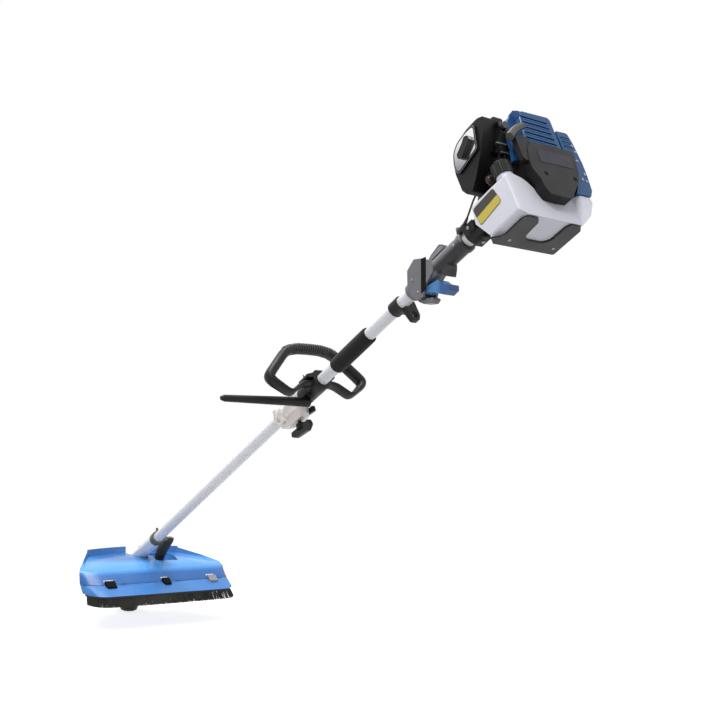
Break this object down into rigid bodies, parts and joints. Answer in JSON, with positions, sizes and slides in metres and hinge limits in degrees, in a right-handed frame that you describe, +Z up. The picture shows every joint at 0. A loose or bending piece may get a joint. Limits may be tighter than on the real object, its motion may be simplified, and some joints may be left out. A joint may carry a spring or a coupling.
{
  "type": "multi-tool brush cutter",
  "caption": "Petrol brush cutter with a split drive tube, loop handle, throttle grip, rear engine with fuel tank, and a wide front guard with a brush edge over a line head.",
  "frame": {"origin": "centre of the hole in the harness eye, where the tool hangs from the operator's harness", "axes": "+Y forward and level, towards the cutting head; +X to the operator's right; +Z up; the drive tube leans 31 degrees down towards the head, as pictured"},
  "size_m": [0.436, 1.5795, 1.13],
  "materials": {
    "tube_paint": "white powder coat",
    "steel": "machined steel",
    "cast_aluminium": "cast, bead blasted",
    "dark_steel": "black paint",
    "stand_paint": "dark grey paint",
    "blue_plastic": "satin moulded blue",
    "cover_blue": "satin moulded dark blue",
    "trigger_blue": "moulded blue",
    "black_plastic": "fine grain",
    "grey_plastic": "fine grain",
    "grip_plastic": "worn matt grip",
    "tank_plastic": "translucent white, blow moulded",
    "foam_rubber": "closed-cell foam",
    "bristle": "nylon bristle",
    "bulb_rubber": "smooth dark rubber",
    "signal_red": "moulded red",
    "cable_black": "smooth sheath"
  },
  "bodies": {
    "power_unit": {"upper_tube": "tube_paint", "coupling_body": "cast_aluminium", "coupling_sleeve": "black_plastic", "loop_handle": "black_plastic", "loop_clamp_cap": "black_plastic", "loop_bolt_left": "steel", "loop_bolt_right": "steel", "barrier_bar": "black_plastic", "foam_grip": "foam_rubber", "hanger_clamp": "black_plastic", "handle_left": "black_plastic", "handle_right": "black_plastic", "clutch_housing": "black_plastic", "fan_housing": "black_plastic", "crankcase": "dark_steel", "cylinder": "cast_aluminium", "spark_plug": "grey_plastic", "intake_spacer": "black_plastic", "carburettor": "cast_aluminium", "air_filter_base": "black_plastic", "air_filter_element": "foam_rubber", "fuel_tank": "tank_plastic", "tank_stand": "stand_paint", "recoil_cover": "black_plastic", "engine_cover": "cover_blue", "muffler": "dark_steel", "muffler_cover": "cover_blue", "throttle_cable": "cable_black"},
    "attachment": {"lower_tube": "tube_paint", "gearhead_housing": "cast_aluminium", "guard_clamp": "dark_steel", "guard_bracket": "dark_steel", "guard_shell": "blue_plastic"},
    "skirt": {"guard_skirt": "blue_plastic", "guard_brush": "bristle", "guard_clip_left": "black_plastic", "guard_clip_middle": "black_plastic", "guard_clip_right": "black_plastic"},
    "upper_drive": {"drive_shaft_upper": "steel", "clutch_drum": "steel"},
    "lower_drive": {"drive_shaft_lower": "steel"},
    "engine_rotor": {"crankshaft": "steel", "flywheel": "cast_aluminium", "clutch_shoes": "dark_steel"},
    "cutting_head": {"output_shaft": "steel", "line_spool": "black_plastic"},
    "bump": {"bump_knob": "grey_plastic"},
    "trigger": {"throttle_trigger": "trigger_blue"},
    "lockout": {"lockout_lever": "black_plastic"},
    "throttle": {"throttle_arm": "dark_steel"},
    "switch": {"stop_switch": "signal_red"},
    "coupling_screw": {"coupling_knob": "black_plastic"},
    "latch": {"coupling_latch": "black_plastic"},
    "filter_lid": {"air_filter_cover": "black_plastic"},
    "filter_screw": {"filter_knob": "black_plastic"},
    "choke": {"choke_lever": "grip_plastic"},
    "primer": {"primer_bulb": "bulb_rubber"},
    "cap": {"fuel_cap": "black_plastic"},
    "starter_grip": {"starter_handle": "grip_plastic"},
    "starter_reel": {"starter_pulley": "grey_plastic"}
  },
  "joints": [
    {"name": "attachment_slide", "type": "slide", "parent": "power_unit", "child": "attachment", "axis": [0, 0.8572, -0.515], "range_m": [0, 0.075]},
    {"name": "skirt_slide", "type": "slide", "parent": "attachment", "child": "skirt", "axis": [0, 0, -1], "range_m": [0, 0.04]},
    {"name": "drive_spin", "type": "hinge", "parent": "power_unit", "child": "upper_drive", "pos_m": [-0.014, -0.20398, 0.15756], "axis": [0, 0.8572, -0.515], "continuous": true},
    {"name": "lower_shaft_spin", "type": "hinge", "parent": "attachment", "child": "lower_drive", "pos_m": [-0.014, 0.68747, -0.37807], "axis": [0, 0.8572, -0.515], "continuous": true},
    {"name": "head_spin", "type": "hinge", "parent": "attachment", "child": "cutting_head", "pos_m": [-0.014, 1.14234, -0.7], "axis": [0, 0, 1], "continuous": true},
    {"name": "bump_slide", "type": "slide", "parent": "cutting_head", "child": "bump", "axis": [0, 0, 1], "range_m": [0, 0.003], "stiffness_N_per_m": 1500, "springref_m": -0.004},
    {"name": "crank_spin", "type": "hinge", "parent": "power_unit", "child": "engine_rotor", "pos_m": [-0.014, -0.30513, 0.21834], "axis": [0, 0.8572, -0.515], "continuous": true},
    {"name": "trigger_squeeze", "type": "hinge", "parent": "power_unit", "child": "trigger", "pos_m": [-0.014, -0.05743, 0.04034], "axis": [-1, 0, 0], "range_deg": [0, 12], "stiffness_Nm_per_rad": 2, "springref_deg": -8.59},
    {"name": "lockout_press", "type": "hinge", "parent": "power_unit", "child": "lockout", "pos_m": [-0.014, -0.05431, 0.09213], "axis": [1, 0, 0], "range_deg": [0, 8], "stiffness_Nm_per_rad": 2, "springref_deg": -6.88},
    {"name": "throttle_open", "type": "hinge", "parent": "power_unit", "child": "throttle", "pos_m": [-0.066, -0.2766, 0.26], "axis": [0, -0.515, -0.8572], "range_deg": [0, 40]},
    {"name": "switch_slide", "type": "slide", "parent": "power_unit", "child": "switch", "axis": [0, -0.8572, 0.515], "range_m": [0, 0.006]},
    {"name": "coupling_knob_turn", "type": "hinge", "parent": "power_unit", "child": "coupling_screw", "pos_m": [-0.014, 0.35006, -0.229], "axis": [0, 0.515, 0.8572], "range_deg": [0, 720]},
    {"name": "latch_press", "type": "hinge", "parent": "power_unit", "child": "latch", "pos_m": [0.003, 0.33567, -0.19469], "axis": [-1, 0, 0], "range_deg": [0, 15], "stiffness_Nm_per_rad": 2, "springref_deg": -8.59},
    {"name": "filter_lid_slide", "type": "slide", "parent": "power_unit", "child": "filter_lid", "axis": [-1, 0, 0], "range_m": [0, 0.06]},
    {"name": "filter_knob_turn", "type": "hinge", "parent": "filter_lid", "child": "filter_screw", "pos_m": [-0.115, -0.25125, 0.2653], "axis": [-1, 0, 0], "range_deg": [0, 720]},
    {"name": "choke_turn", "type": "hinge", "parent": "power_unit", "child": "choke", "pos_m": [-0.072, -0.29393, 0.30027], "axis": [0, 0.8572, -0.515], "range_deg": [0, 60]},
    {"name": "primer_press", "type": "slide", "parent": "power_unit", "child": "primer", "axis": [1, 0, 0], "range_m": [0, 0.004], "stiffness_N_per_m": 1200, "springref_m": -0.001, "deforming": ["primer_bulb"]},
    {"name": "cap_lift", "type": "slide", "parent": "power_unit", "child": "cap", "axis": [0, 0.515, 0.8572], "range_m": [0, 0.02]},
    {"name": "starter_pull", "type": "slide", "parent": "power_unit", "child": "starter_grip", "axis": [-0.5621, 0.426, 0.709], "range_m": [0, 0.085], "stiffness_N_per_m": 60, "springref_m": -0.05},
    {"name": "starter_reel_turn", "type": "hinge", "parent": "power_unit", "child": "starter_reel", "pos_m": [-0.014, -0.33427, 0.23585], "axis": [0, 0.8572, -0.515], "range_deg": [0, 180]}
  ],
  "couplings": [
    {"joint": "lower_shaft_spin", "follows": "drive_spin", "ratio": 1},
    {"joint": "head_spin", "follows": "drive_spin", "ratio": 0.75},
    {"joint": "throttle_open", "follows": "trigger_squeeze", "ratio": 3.333},
    {"joint": "starter_reel_turn", "follows": "starter_pull", "rad_per_m": 36}
  ]
}
